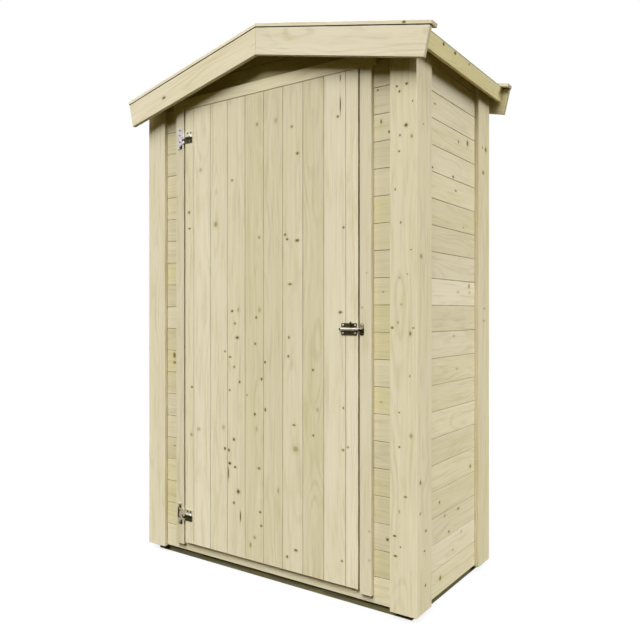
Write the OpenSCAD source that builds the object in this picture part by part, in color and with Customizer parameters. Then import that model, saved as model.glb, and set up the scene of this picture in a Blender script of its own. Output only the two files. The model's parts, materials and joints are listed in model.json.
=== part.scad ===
// Garden tool shed of pressure-treated pine: a narrow cabinet with one outward door and a gabled roof.
// The origin is on the ground under the middle of the shed. The front looks along -Y and up is +Z.
// Every size is in millimetres.

/* [Shed] */
// Width over the corner boards
shed_w = 1250; // [1180:1:1500]
// Depth over the corner boards
shed_d = 636; // [560:1:900]
// Height of the roof boards' top face at the ridge, above the door's top
ridge_above_door = 219; // [200:1:400]
// Slope of the roof in degrees
pitch = 13; // [10:0.5:14]

/* [Tongue and groove boards] */
// Thickness of the wall, floor and roof boards
board_t = 16; // [14:0.5:20]
// Width of a board's face, from joint to joint
board_w = 90; // [80:1:120]
// Open joint between two boards
joint_gap = 0.6; // [0.4:0.1:1.5]
// Chamfer along the edges of a board's outer face
board_chamfer = 1.2; // [0.8:0.1:2]
// Thickness of the tongue
tongue_t = 5; // [4:0.5:6]
// Length of the tongue
tongue_l = 6.5; // [5:0.5:8]
// Clearance of the tongue in its groove, on each side and at its tip
tongue_clear = 0.4; // [0.2:0.1:0.8]
// Narrowest strip that is worth sawing from a board
rip_min = 20; // [15:1:30]

/* [Base and floor] */
// Height of the base rails and joists
base_h = 44; // [40:1:60]
// Width of the base rails and joists
base_w = 34; // [28:1:50]
// Height of the wall boards' lower edge above the ground
wall_z0 = 30; // [20:1:38]
// Height of the corner boards' lower edge above the ground
corner_z0 = 25; // [10:1:30]

/* [Inner frame] */
// Section of the posts, jambs, stud and lintel rail
post_w = 34; // [28:1:44]
// Height of the purlins
purlin_h = 44; // [34:1:60]
// Height of the lintel rail
lintel_h = 44; // [34:1:60]
// Length of the door jambs above the lintel boards
jamb_above = 30; // [10:1:45]

/* [Corner boards and door casing] */
// Thickness of the corner boards
corner_t = 16; // [14:0.5:20]
// Width of the corner boards
corner_w = 96; // [70:1:110]
// Thickness of the door casing
casing_t = 16; // [14:0.5:20]
// Width of the casing's uprights
casing_w = 44; // [34:1:60]
// Height of the casing's top board
casing_top_h = 44; // [34:1:50]
// Reach of the casing's top board past the uprights
casing_top_reach = 16; // [0:1:30]
// Height of the uprights' lower ends above the ground
casing_z0 = 57; // [50:1:66]

/* [Door] */
// Width of the door
door_w = 818; // [700:1:850]
// Height of the door's lower edge above the ground
door_z0 = 68; // [64:1:74]
// Height of the door
door_h = 1744; // [1500:1:1750]
// Thickness of the door's boards
door_t = 15; // [13:0.5:18]
// Gap between the door and the casing at each side
door_side_gap = 7; // [5:0.5:10]
// Gap between the door and the casing's top board
door_top_gap = 2; // [1.5:0.5:4]
// Gap behind the closed door's boards
door_back_gap = 1; // [0.6:0.1:2]
// Overlap of the door's boards on the wall round the opening
door_lap = 16; // [12:1:25]
// Thickness of the door's ledges and braces
ledge_t = 18; // [14:0.5:22]
// Width of the door's ledges
ledge_w = 70; // [50:1:90]
// Width of the door's braces
brace_w = 60; // [40:1:80]
// Gap between the ledges' ends and the sides of the opening
ledge_side_gap = 8; // [5:0.5:15]

/* [Roof] */
// Overhang of the eaves past the corner boards
eave_over = 44; // [30:1:80]
// Overhang of the verges past the corner boards, with the barge boards
verge_over = 47; // [36:1:80]
// Width of the barge boards
barge_w = 96; // [80:1:105]
// Thickness of the barge boards
barge_t = 16; // [14:0.5:20]
// Reach of the barge boards past the eave boards
barge_reach = 25; // [10:1:40]
// Width of the eave boards
eave_w = 50; // [40:1:60]
// Thickness of the eave boards
eave_t = 16; // [14:0.5:20]
// Clearance under the roof boards, at their eave ends, under the felt and under the capping battens
roof_clear = 0.05; // [0.02:0.01:0.2]
// Thickness of the roofing felt
felt_t = 3; // [1.5:0.5:4]
// Width of the capping battens
cap_w = 42; // [30:1:60]
// Thickness of the capping battens
cap_t = 13; // [10:0.5:20]
// Reach of the capping battens past the barge boards' ends
cap_reach = 3; // [0:0.5:6]
// Spacing of the felt nails
nail_pitch = 95; // [60:1:150]

/* [Hinges] */
// Distance of each hinge's middle from the door's end
hinge_inset = 111; // [75:1:200]
// Height of the plate on the casing
hinge_plate_h = 83; // [70:1:100]
// Width of the plate on the casing
hinge_plate_w = 25; // [20:1:30]
// Height of the leaf on the door, and of the knuckles
hinge_leaf_h = 46; // [40:1:60]
// Reach of the leaf over the door, from the hinge pin
hinge_leaf_w = 44; // [36:1:60]
// Distance of the leaf's inner screws from the hinge pin
leaf_screw_reach = 19.5; // [18:0.5:24]
// Thickness of both leaves
hinge_t = 2; // [1.5:0.1:2.5]
// Outer radius of the knuckles
knuckle_r = 4.5; // [4.2:0.1:5.5]
// Distance from the knuckles to where both leaves are full height
leaf_relief_gap = 1; // [0.5:0.1:2]
// Diameter of the hinge pins
hinge_pin_d = 5; // [4:0.1:5.5]
// Diameter of the heads of the hinge pins
pin_head_d = 8; // [7:0.5:9]
// Height of the heads of the hinge pins
pin_head_h = 1.5; // [1:0.5:3]
// Length of the neck between the plate on the casing and the knuckles
hinge_neck = 7; // [5:0.5:10]
// Clearance round the hinge pins
pin_clear = 0.1; // [0.05:0.01:0.3]
// Gap between neighbouring knuckles
hinge_clear = 0.25; // [0.15:0.05:0.4]

/* [Barrel bolt] */
// Height of the bolt above the ground
latch_z = 939; // [700:1:1300]
// Length of the plate on the door
latch_plate_w = 62; // [56:1:75]
// Height of the plate on the door
latch_plate_h = 41; // [34:1:50]
// Distance of the plate's end from the door's edge
latch_inset = 4; // [2:0.5:8]
// Thickness of the plate and of the keeper's foot
latch_t = 1.5; // [1:0.1:2]
// Diameter of the bolt
bolt_d = 8; // [6:0.5:9]
// Clearance round the bolt in its barrel
bolt_clear = 0.1; // [0.05:0.01:0.4]
// Clearance round the bolt in the keeper's loop
keeper_clear = 0.6; // [0.3:0.05:1]
// Clearance of the knob's stem in the barrel's slot
slot_clear = 0.6; // [0.3:0.1:1]
// Wall of the barrel and of the keeper's loop
barrel_wall = 1.9; // [1.4:0.1:2.5]
// Distance of the barrel's ends from the plate's ends
barrel_inset = 2; // [1:0.5:3]
// Travel of the bolt from rest into the keeper
bolt_throw = 11; // [8:0.5:12]
// Travel of the bolt from rest back into the door
bolt_draw = 13; // [10:0.5:16]
// Gap between the resting bolt's tip and the keeper
bolt_keeper_gap = 2; // [1:0.5:3]
// Length of the bolt
bolt_l = 77; // [70:1:90]
// Chamfer of the bolt's tip
tip_chamfer = 1.5; // [0.5:0.1:2]
// Distance of the knob from the bolt's tip
knob_from_tip = 30; // [28:0.5:34]
// Diameter of the knob's stem
knob_d = 5; // [4:0.5:6]
// Diameter of the ball on the knob's end
knob_ball_d = 7; // [6:0.5:8]
// Reach of the knob from the bolt's middle line
knob_l = 26; // [20:0.5:30]
// Lean of the knob towards the front in degrees
knob_lean = 8; // [0:1:45]
// Width of the keeper
keeper_w = 15.5; // [14:0.5:20]
// Height of the keeper's foot
keeper_h = 41; // [38:1:50]
// Distance of the keeper from the casing's edge
keeper_inset = 0.5; // [0.5:0.5:4]

/* [Fixings] */
// Diameter of the screws' shanks
screw_d = 3.5; // [3:0.1:4]
// Length of the screws' shanks
screw_l = 13; // [10:0.5:13]
// Diameter of the screws' heads
screw_head_d = 7; // [6:0.1:8]
// Height of the screws' heads
screw_head_h = 1.6; // [1.2:0.1:2.4]
// Clearance round the shanks of screws and nails
hole_clear = 0.15; // [0.1:0.05:0.4]
// Diameter of the felt nails' heads
nail_head_d = 8; // [6:0.1:9]
// Height of the felt nails' heads
nail_head_h = 1; // [0.8:0.1:1.5]
// Diameter of the felt nails' shanks
nail_d = 2.4; // [2:0.1:3]
// Length of the felt nails' shanks
nail_l = 18; // [14:0.5:25]
// Distance of the outer screws from the ends of the plates that they hold
screw_inset = 7; // [6:0.5:9]
// Distance of the keeper's screws from its ends
keeper_screw_inset = 6; // [5:0.5:7]

/* [Hidden] */

// Colours
pine = [0.84, 0.80, 0.66];
pine_trim = [0.87, 0.83, 0.70];
pine_inside = [0.80, 0.75, 0.60];
base_timber = [0.36, 0.37, 0.28];
felt_black = [0.20, 0.20, 0.19];
zinc = [0.78, 0.78, 0.76];

// Heights that the rest is set out from
door_z1 = door_z0 + door_h;
ridge_h = door_z1 + ridge_above_door;

// Planes of the walls
wall_x = shed_w / 2 - corner_t;
wall_y = shed_d / 2 - corner_t;
inner_x = wall_x - board_t;
inner_y = wall_y - board_t;
face_y = shed_d / 2;
floor_z = base_h + board_t;

// Roof lines, where n is the depth below the roof boards' top face, square to the slope, and seat_n
// is the depth of what carries the roof boards
slope = tan(pitch);
seat_n = board_t + roof_clear;
function roof_z(x, n) = ridge_h - n / cos(pitch) - slope * abs(x);
eave_s = (shed_w / 2 + eave_over) / cos(pitch);
barge_s = eave_s + barge_reach;
cap_s = barge_s + cap_reach;
deck_s = eave_s - eave_t - roof_clear;
barge_y = face_y + verge_over;
deck_y = barge_y - barge_t;
post_top = roof_z(inner_x, seat_n) - purlin_h;
ridge_purlin_z0 = roof_z(post_w / 2, seat_n) - purlin_h;

// Door and its opening
door_x = door_w / 2;
open_x = door_x - door_lap;
open_z0 = door_z0 + door_lap;
open_z1 = door_z1 - door_lap;
gable_z0 = wall_z0 + board_w * ceil((open_z1 + rip_min - wall_z0) / board_w);
door_back_y = -wall_y - door_back_gap;
door_face_y = door_back_y - door_t;
casing_face_y = -wall_y - casing_t;
casing_x = door_x + door_side_gap;
casing_top_z0 = door_z1 + door_top_gap;
ledge_x = open_x - ledge_side_gap;

// Hinges
hinge_x = -(door_x + door_side_gap / 2);
hinge_y = min(door_face_y, casing_face_y) - knuckle_r;
hinge_z = [door_z0 + hinge_inset, door_z1 - hinge_inset];
knuckles = 5;
knuckle_h = hinge_leaf_h / knuckles;
leaf_relief = knuckle_r + leaf_relief_gap;
plate_x0 = -leaf_relief - hinge_neck - hinge_plate_w;
plate_screw_shares = [-1, -0.4, 0.4, 1];

// Barrel bolt
plate_lx1 = door_x - latch_inset;
plate_lx0 = plate_lx1 - latch_plate_w;
barrel_r = bolt_d / 2 + bolt_clear + barrel_wall;
bolt_y = min(door_face_y, casing_face_y) - barrel_r;
keeper_x0 = casing_x + keeper_inset;
bolt_tip_x = keeper_x0 - bolt_keeper_gap;
knob_x = bolt_tip_x - knob_from_tip;

// Small cut margin, so that no two cutting faces lie on one another
cut = 1;
$fn = 48;

// Tongue and groove boards

// Section of a board: depth from the inner face outwards, and height from the groove to the tongue
function board_section(h, tongue, groove, t = board_t) =
    let (mid = t / 2, slot = tongue_t / 2 + tongue_clear, slot_l = tongue_l + joint_gap)
    concat(
        [[0, 0]],
        groove ? [[mid - slot, 0], [mid - slot, slot_l], [mid + slot, slot_l], [mid + slot, 0]] : [],
        [[t - board_chamfer, 0], [t, board_chamfer], [t, h - board_chamfer], [t - board_chamfer, h]],
        tongue ? [[mid + tongue_t / 2, h], [mid + tongue_t / 2, h + tongue_l - tongue_clear],
                  [mid - tongue_t / 2, h + tongue_l - tongue_clear], [mid - tongue_t / 2, h]] : [],
        [[0, h]]);

// Number of boards in a run, where a last strip under rip_min is left on the board before it
function board_count(length) = max(1, ceil((length - rip_min) / board_w));

// One board of a run: its height, with the last one sawn to the run's end
function board_height(length, i) =
    i == board_count(length) - 1 ? length - i * board_w : board_w - joint_gap;

// A level board of a wall that looks along +Y, between x0 and x1
module level_board(plane, x0, x1, z, h, tongue, groove) {
    translate([x0, plane, z]) rotate([90, 0, 90])
        linear_extrude(x1 - x0) polygon(board_section(h, tongue, groove));
}

// A run of level boards from z0 up to z1, which may fit boards below and above it
module board_run(plane, x0, x1, z0, z1, groove_first = false, tongue_last = false) {
    run = z1 - z0;
    last = board_count(run) - 1;
    for (i = [0 : last]) {
        trim = i == last && tongue_last ? joint_gap : 0;
        level_board(plane, x0, x1, z0 + i * board_w, board_height(run, i) - trim,
            i < last || tongue_last, i > 0 || groove_first);
    }
}

// Everything that may carry the roof boards, between two depths
module under_roof(y0, y1) {
    translate([0, y1, 0]) rotate([90, 0, 0]) linear_extrude(y1 - y0)
        polygon([[-shed_w, 0], [-shed_w, roof_z(shed_w, seat_n)], [0, roof_z(0, seat_n)],
                 [shed_w, roof_z(shed_w, seat_n)], [shed_w, 0]]);
}

// The point at a distance down the slope and a depth below the roof face
function slope_point(s, n) =
    [s * cos(pitch) - n * sin(pitch), ridge_h - s * sin(pitch) - n * cos(pitch)];

// A strip down one slope from x0 beside the ridge, where n0 and n1 are depths below the roof face
module slope_strip(side, y0, y1, n0, n1, s1, x0 = 0) {
    mirror([side < 0 ? 1 : 0, 0, 0]) translate([0, y1, 0]) rotate([90, 0, 0]) linear_extrude(y1 - y0)
        polygon([[x0, roof_z(x0, n0)], slope_point(s1, n0), slope_point(s1, n1), [x0, roof_z(x0, n1)]]);
}

// Places its children in a slope's own frame: x down the slope from the ridge, z out of the roof face
module on_slope(side) {
    mirror([side < 0 ? 1 : 0, 0, 0]) translate([0, 0, ridge_h]) rotate([0, pitch, 0]) children();
}

// Base and floor

module floor_rail(end) {
    color(base_timber) translate([-inner_x, end < 0 ? -inner_y : inner_y - base_w, 0])
        cube([2 * inner_x, base_w, base_h]);
}
module floor_rail_front() { floor_rail(-1); }
module floor_rail_rear() { floor_rail(1); }

module floor_joists() {
    color(base_timber) for (x = [-inner_x, -base_w / 2, inner_x - base_w])
        translate([x, -inner_y + base_w, 0]) cube([base_w, 2 * (inner_y - base_w), base_h]);
}

module floor_boards() {
    run = 2 * inner_y;
    last = board_count(run) - 1;
    color(pine_inside) for (i = [0 : last])
        translate([inner_x, -inner_y + i * board_w, base_h]) rotate([0, -90, 0])
            linear_extrude(2 * inner_x) polygon(board_section(board_height(run, i), i < last, i > 0));
}

// Inner frame

module corner_post(side, end) {
    x0 = side < 0 ? -inner_x : inner_x - post_w;
    y0 = end < 0 ? -inner_y : inner_y - post_w;
    color(pine_inside) translate([x0, y0, floor_z]) cube([post_w, post_w, post_top - floor_z]);
}
module corner_post_front_left() { corner_post(-1, -1); }
module corner_post_front_right() { corner_post(1, -1); }
module corner_post_rear_left() { corner_post(-1, 1); }
module corner_post_rear_right() { corner_post(1, 1); }

module door_jamb(side) {
    color(pine_inside) translate([side < 0 ? -open_x - post_w : open_x, -inner_y, floor_z])
        cube([post_w, post_w, gable_z0 + jamb_above - floor_z]);
}
module door_jamb_left() { door_jamb(-1); }
module door_jamb_right() { door_jamb(1); }

module lintel_rail() {
    color(pine_inside) translate([-open_x, -inner_y, open_z1]) cube([2 * open_x, post_w, lintel_h]);
}

module rear_stud() {
    color(pine_inside) translate([-post_w / 2, inner_y - post_w, floor_z])
        cube([post_w, post_w, ridge_purlin_z0 - floor_z]);
}

// Wall boards

// The wall at the left or right of the door, from the lower edge to the gable boards
module front_boards(side) {
    color(pine) mirror([side < 0 ? 1 : 0, 0, 0]) mirror([0, 1, 0])
        board_run(inner_y, open_x, wall_x, wall_z0 + board_w, gable_z0, true, true);
}
module front_boards_left() { front_boards(-1); }
module front_boards_right() { front_boards(1); }

// The lowest board runs under the door, and is sawn down between the jambs
module front_sill_board() {
    color(pine) mirror([0, 1, 0]) difference() {
        level_board(inner_y, -wall_x, wall_x, wall_z0, board_w - joint_gap, true, false);
        translate([-open_x, inner_y - cut, open_z0]) cube([2 * open_x, board_t + 2 * cut, board_w]);
    }
}

// The boards over the door, with the strip that closes the opening at its top
module front_gable_boards() {
    color(pine) mirror([0, 1, 0]) {
        level_board(inner_y, -open_x, open_x, open_z1, gable_z0 - joint_gap - open_z1, true, false);
        intersection() {
            board_run(inner_y, -wall_x, wall_x, gable_z0, roof_z(0, seat_n), true);
            under_roof(inner_y - cut, wall_y + cut);
        }
    }
}

module side_wall_boards(side) {
    top = roof_z(wall_x, seat_n);
    color(pine) mirror([side < 0 ? 1 : 0, 0, 0]) rotate([0, 0, -90])
        board_run(inner_x, -inner_y, inner_y, wall_z0, top);
}
module left_wall_boards() { side_wall_boards(-1); }
module right_wall_boards() { side_wall_boards(1); }

module rear_wall_boards() {
    color(pine) intersection() {
        board_run(inner_y, -wall_x, wall_x, wall_z0, roof_z(0, seat_n));
        under_roof(inner_y - cut, wall_y + cut);
    }
}

// Corner boards and casing

// An upright from x0 out to the corner, with its top sawn to the roof boards
module corner_upright(side, x0, y0, depth) {
    x1 = shed_w / 2;
    color(pine_trim) mirror([side < 0 ? 1 : 0, 0, 0]) translate([0, y0 + depth, 0]) rotate([90, 0, 0])
        linear_extrude(depth)
            polygon([[x0, corner_z0], [x1, corner_z0], [x1, roof_z(x1, seat_n)], [x0, roof_z(x0, seat_n)]]);
}

// Board on the front or rear face of a corner
module corner_board(side, end) {
    corner_upright(side, shed_w / 2 - corner_w, end < 0 ? -face_y : wall_y, corner_t);
}
module corner_board_front_left() { corner_board(-1, -1); }
module corner_board_front_right() { corner_board(1, -1); }
module corner_board_rear_left() { corner_board(-1, 1); }
module corner_board_rear_right() { corner_board(1, 1); }

// Board on the left or right face of a corner, behind the front or rear one
module side_board(side, end) {
    corner_upright(side, wall_x, end < 0 ? -wall_y : wall_y - corner_w, corner_w);
}
module side_board_front_left() { side_board(-1, -1); }
module side_board_front_right() { side_board(1, -1); }
module side_board_rear_left() { side_board(-1, 1); }
module side_board_rear_right() { side_board(1, 1); }

module casing_upright(side) {
    color(pine_trim) difference() {
        mirror([side < 0 ? 1 : 0, 0, 0]) translate([casing_x, casing_face_y, casing_z0])
            cube([casing_w, casing_t, casing_top_z0 - casing_z0]);
        casing_screw_places() screw_hole();
    }
}
module door_casing_left() { casing_upright(-1); }
module door_casing_right() { casing_upright(1); }

module door_casing_top() {
    reach = casing_x + casing_w + casing_top_reach;
    color(pine_trim) translate([-reach, casing_face_y, casing_top_z0])
        cube([2 * reach, casing_t, casing_top_h]);
}

// Roof

module ridge_purlin() {
    half = post_w / 2;
    color(pine_inside) translate([0, inner_y, 0]) rotate([90, 0, 0]) linear_extrude(2 * inner_y)
        polygon([[-half, ridge_purlin_z0], [half, ridge_purlin_z0], [half, roof_z(half, seat_n)],
                 [0, roof_z(0, seat_n)], [-half, roof_z(half, seat_n)]]);
}

module eave_purlin(side) {
    x0 = inner_x - post_w;
    color(pine_inside) mirror([side < 0 ? 1 : 0, 0, 0]) translate([0, inner_y, 0]) rotate([90, 0, 0])
        linear_extrude(2 * inner_y) polygon([[x0, post_top], [inner_x, post_top],
            [inner_x, roof_z(inner_x, seat_n)], [x0, roof_z(x0, seat_n)]]);
}
module eave_purlin_left() { eave_purlin(-1); }
module eave_purlin_right() { eave_purlin(1); }

// Boards parallel to the ridge, cut upright where the two slopes meet
module roof_boards(side) {
    last = board_count(deck_s) - 1;
    ridge_cut = board_t * slope;
    color(pine) on_slope(side) for (i = [0 : last])
        difference() {
            translate([i * board_w, -deck_y, -board_t]) rotate([90, 0, 90]) rotate([90, 0, 90])
                linear_extrude(2 * deck_y)
                    polygon(board_section(board_height(deck_s, i), i < last, i > 0));
            if (i == 0) translate([0, deck_y + cut, 0]) rotate([90, 0, 0])
                linear_extrude(2 * (deck_y + cut))
                    polygon([[-cut, cut], [0, 0], [ridge_cut, -board_t],
                             [ridge_cut + cut * slope, -board_t - cut], [-cut, -board_t - cut]]);
        }
}
module roof_boards_left() { roof_boards(-1); }
module roof_boards_right() { roof_boards(1); }

// Front face of the barge board at one end
function verge_y0(end) = end < 0 ? -barge_y : deck_y;

// Felt over the roof boards and the top edges of the eave and barge boards
module roofing_felt() {
    color(felt_black) difference() {
        union() for (side = [-1, 1]) {
            slope_strip(side, -barge_y, barge_y, -felt_t, -roof_clear, eave_s);
            for (y0 = [verge_y0(-1), verge_y0(1)])
                slope_strip(side, y0, y0 + barge_t, -felt_t, -roof_clear, barge_s);
        }
        felt_nail_places() nail_hole();
    }
}

module barge_board(side, end) {
    y0 = verge_y0(end);
    color(pine_trim) slope_strip(side, y0, y0 + barge_t, 0, barge_w, barge_s, joint_gap / 2);
}
module barge_board_front_left() { barge_board(-1, -1); }
module barge_board_front_right() { barge_board(1, -1); }
module barge_board_rear_left() { barge_board(-1, 1); }
module barge_board_rear_right() { barge_board(1, 1); }

// A left and a right batten that meet at the ridge
module cap_battens(end) {
    color(pine_trim) for (side = [-1, 1])
        slope_strip(side, end < 0 ? -barge_y : barge_y - cap_w, end < 0 ? cap_w - barge_y : barge_y,
            -felt_t - cap_t, -felt_t - roof_clear, cap_s, joint_gap / 2);
}
module cap_battens_front() { cap_battens(-1); }
module cap_battens_rear() { cap_battens(1); }

module eave_board(side) {
    color(pine_trim) difference() {
        on_slope(side) translate([eave_s - eave_t, -deck_y, -eave_w])
            cube([eave_t, 2 * deck_y, eave_w]);
        felt_nail_places() nail_hole();
    }
}
module eave_board_left() { eave_board(-1); }
module eave_board_right() { eave_board(1); }

// Felt nails stand in the eave boards' top edges, evenly spaced between the capping battens
module felt_nail_places() {
    room = barge_y - cap_w - nail_head_d;
    count = floor(2 * room / nail_pitch) + 1;
    for (side = [-1, 1]) on_slope(side) for (i = [0 : count - 1])
        translate([eave_s - eave_t / 2, (i - (count - 1) / 2) * nail_pitch, felt_t]) children();
}
module nail_hole() {
    translate([0, 0, -nail_l - felt_t]) cylinder(d = nail_d + 2 * hole_clear, h = nail_l + felt_t + cut);
}
module felt_nails() {
    color(zinc) felt_nail_places() {
        cylinder(d = nail_head_d, h = nail_head_h);
        translate([0, 0, -nail_l]) cylinder(d = nail_d, h = nail_l + nail_head_h / 2);
    }
}

// Door

module door_boards() {
    half = ceil((door_x - rip_min) / board_w);
    color(pine) difference() {
        for (i = [-half : half - 1]) {
            x0 = max(i * board_w, -door_x);
            x1 = i == half - 1 ? door_x : (i + 1) * board_w - joint_gap;
            translate([x0, door_back_y, door_z0]) rotate([0, 0, -90]) linear_extrude(door_h)
                polygon(board_section(x1 - x0, i < half - 1, i > -half, door_t));
        }
        door_screw_places() screw_hole();
    }
}

module door_ledge(z) {
    color(pine_inside) translate([-ledge_x, door_back_y, z - ledge_w / 2])
        cube([2 * ledge_x, ledge_t, ledge_w]);
}
module door_ledge_top() { door_ledge(hinge_z[1]); }
module door_ledge_middle() { door_ledge(latch_z); }
module door_ledge_bottom() { door_ledge(hinge_z[0]); }

// Two braces that rise from the hinge side, each fitted between two ledges
module door_braces() {
    color(pine_inside) for (span = [[hinge_z[0], latch_z], [latch_z, hinge_z[1]]]) {
        z0 = span[0] + ledge_w / 2;
        z1 = span[1] - ledge_w / 2;
        run = brace_w / sin(atan2(z1 - z0, 2 * ledge_x));
        translate([0, door_back_y + ledge_t, 0]) rotate([90, 0, 0]) linear_extrude(ledge_t)
            polygon([[-ledge_x, z0], [-ledge_x + run, z0], [ledge_x, z1], [ledge_x - run, z1]]);
    }
}

// Hinges

// Places its children on the hinge line at the middle height of each hinge
module at_hinges() {
    for (z = hinge_z) translate([hinge_x, 0, z]) children();
}

// The knuckles with odd or even numbers, with the bore for the pin
module knuckle_set(first, face, reach) {
    difference() {
        for (i = [first : 2 : knuckles - 1])
            translate([0, 0, -hinge_leaf_h / 2 + i * knuckle_h + hinge_clear / 2]) {
                translate([0, hinge_y, 0]) cylinder(r = knuckle_r, h = knuckle_h - hinge_clear);
                translate([min(0, reach), face - hinge_t, 0])
                    cube([abs(reach), hinge_t, knuckle_h - hinge_clear]);
            }
        translate([0, hinge_y, -hinge_leaf_h])
            cylinder(d = hinge_pin_d + 2 * pin_clear, h = 2 * hinge_leaf_h);
    }
}

module hinge_plate(z) {
    color(zinc) difference() {
        translate([hinge_x, 0, z]) {
            knuckle_set(0, casing_face_y, -leaf_relief);
            translate([plate_x0, casing_face_y - hinge_t, -hinge_plate_h / 2])
                cube([hinge_plate_w, hinge_t, hinge_plate_h]);
            translate([plate_x0 + hinge_plate_w, casing_face_y - hinge_t, -hinge_leaf_h / 2])
                cube([hinge_neck, hinge_t, hinge_leaf_h]);
        }
        casing_screw_places() screw_hole();
    }
}
module hinge_plate_upper() { hinge_plate(hinge_z[1]); }
module hinge_plate_lower() { hinge_plate(hinge_z[0]); }

module hinge_leaf(z) {
    color(zinc) difference() {
        translate([hinge_x, 0, z]) {
            knuckle_set(1, door_face_y, leaf_relief);
            translate([leaf_relief, door_face_y - hinge_t, -hinge_leaf_h / 2])
                cube([hinge_leaf_w - leaf_relief, hinge_t, hinge_leaf_h]);
        }
        door_screw_places() screw_hole();
    }
}
module hinge_leaf_upper() { hinge_leaf(hinge_z[1]); }
module hinge_leaf_lower() { hinge_leaf(hinge_z[0]); }

module hinge_pins() {
    color(zinc) at_hinges() translate([0, hinge_y, -hinge_leaf_h / 2]) {
        cylinder(d = hinge_pin_d, h = hinge_leaf_h);
        translate([0, 0, hinge_leaf_h - hinge_clear / 2]) cylinder(d = pin_head_d, h = pin_head_h);
    }
}

// Barrel bolt

// A foot plate with a round barrel along X, from x0 to x1
module barrel_on_plate(x0, x1, plate_h, inset, face, clear) {
    difference() {
        union() {
            translate([x0, face - latch_t, latch_z - plate_h / 2]) cube([x1 - x0, latch_t, plate_h]);
            translate([x0 + inset, bolt_y, latch_z]) rotate([0, 90, 0])
                cylinder(r = barrel_r, h = x1 - x0 - 2 * inset);
        }
        translate([x0 - cut, bolt_y, latch_z]) rotate([0, 90, 0])
            cylinder(d = bolt_d + 2 * clear, h = x1 - x0 + 2 * cut);
    }
}

module latch_plate() {
    slot_w = knob_d + 2 * slot_clear;
    color(zinc) difference() {
        barrel_on_plate(plate_lx0, plate_lx1, latch_plate_h, barrel_inset, door_face_y, bolt_clear);
        translate([knob_x - bolt_draw - slot_w / 2, bolt_y, latch_z]) rotate([knob_lean, 0, 0])
            translate([0, -slot_w / 2, 0]) cube([bolt_draw + bolt_throw + slot_w, slot_w, 2 * barrel_r]);
        door_screw_places() screw_hole();
    }
}

module latch_bolt() {
    color(zinc) {
        translate([bolt_tip_x - bolt_l, bolt_y, latch_z]) rotate([0, 90, 0]) {
            cylinder(d = bolt_d, h = bolt_l - tip_chamfer);
            translate([0, 0, bolt_l - tip_chamfer])
                cylinder(d1 = bolt_d, d2 = bolt_d - 2 * tip_chamfer, h = tip_chamfer);
        }
        translate([knob_x, bolt_y, latch_z]) rotate([knob_lean, 0, 0]) {
            cylinder(d = knob_d, h = knob_l - knob_ball_d / 2);
            translate([0, 0, knob_l - knob_ball_d / 2]) sphere(d = knob_ball_d);
        }
    }
}

module latch_keeper() {
    color(zinc) difference() {
        barrel_on_plate(keeper_x0, keeper_x0 + keeper_w, keeper_h, 0, casing_face_y, keeper_clear);
        casing_screw_places() screw_hole();
    }
}

// Screws, each placed with its head outwards on the face of the plate that it holds

module screw() {
    rotate([90, 0, 0]) cylinder(d = screw_head_d, h = screw_head_h);
    translate([0, screw_l, 0]) rotate([90, 0, 0]) cylinder(d = screw_d, h = screw_l + screw_head_h / 2);
}
module screw_hole() {
    translate([0, screw_l, 0]) rotate([90, 0, 0]) cylinder(d = screw_d + 2 * hole_clear, h = screw_l + cut);
}

// Screws into the casing: hinge plates and keeper
module casing_screw_places() {
    for (z = hinge_z) for (share = plate_screw_shares)
        translate([hinge_x + plate_x0 + hinge_plate_w / 2, casing_face_y - hinge_t,
            z + share * (hinge_plate_h / 2 - screw_inset)]) children();
    for (side = [-1, 1])
        translate([keeper_x0 + keeper_w / 2, casing_face_y - latch_t,
            latch_z + side * (keeper_h / 2 - keeper_screw_inset)]) children();
}

// Screws into the door: hinge leaves and latch plate
module door_screw_places() {
    for (side = [-1, 1]) {
        for (z = hinge_z) for (x = [leaf_screw_reach, hinge_leaf_w - screw_inset])
            translate([hinge_x + x, door_face_y - hinge_t, z + side * (hinge_leaf_h / 2 - screw_inset)])
                children();
        for (x = [plate_lx0 + screw_inset, plate_lx1 - screw_inset])
            translate([x, door_face_y - latch_t, latch_z + side * (latch_plate_h / 2 - screw_inset)])
                children();
    }
}

module casing_screws() { color(zinc) casing_screw_places() screw(); }
module door_screws() { color(zinc) door_screw_places() screw(); }

floor_rail_front();
floor_rail_rear();
floor_joists();
floor_boards();
corner_post_front_left();
corner_post_front_right();
corner_post_rear_left();
corner_post_rear_right();
door_jamb_left();
door_jamb_right();
lintel_rail();
rear_stud();
front_boards_left();
front_boards_right();
front_sill_board();
front_gable_boards();
left_wall_boards();
right_wall_boards();
rear_wall_boards();
corner_board_front_left();
corner_board_front_right();
corner_board_rear_left();
corner_board_rear_right();
side_board_front_left();
side_board_front_right();
side_board_rear_left();
side_board_rear_right();
door_casing_left();
door_casing_right();
door_casing_top();
ridge_purlin();
eave_purlin_left();
eave_purlin_right();
roof_boards_left();
roof_boards_right();
roofing_felt();
barge_board_front_left();
barge_board_front_right();
barge_board_rear_left();
barge_board_rear_right();
cap_battens_front();
cap_battens_rear();
eave_board_left();
eave_board_right();
felt_nails();
door_boards();
door_ledge_top();
door_ledge_middle();
door_ledge_bottom();
door_braces();
hinge_plate_upper();
hinge_plate_lower();
hinge_leaf_upper();
hinge_leaf_lower();
hinge_pins();
latch_plate();
latch_bolt();
latch_keeper();
casing_screws();
door_screws();
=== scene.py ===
"""Looks of the garden tool shed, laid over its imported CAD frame. All sizes are in metres."""
import json
import math
import random

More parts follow.
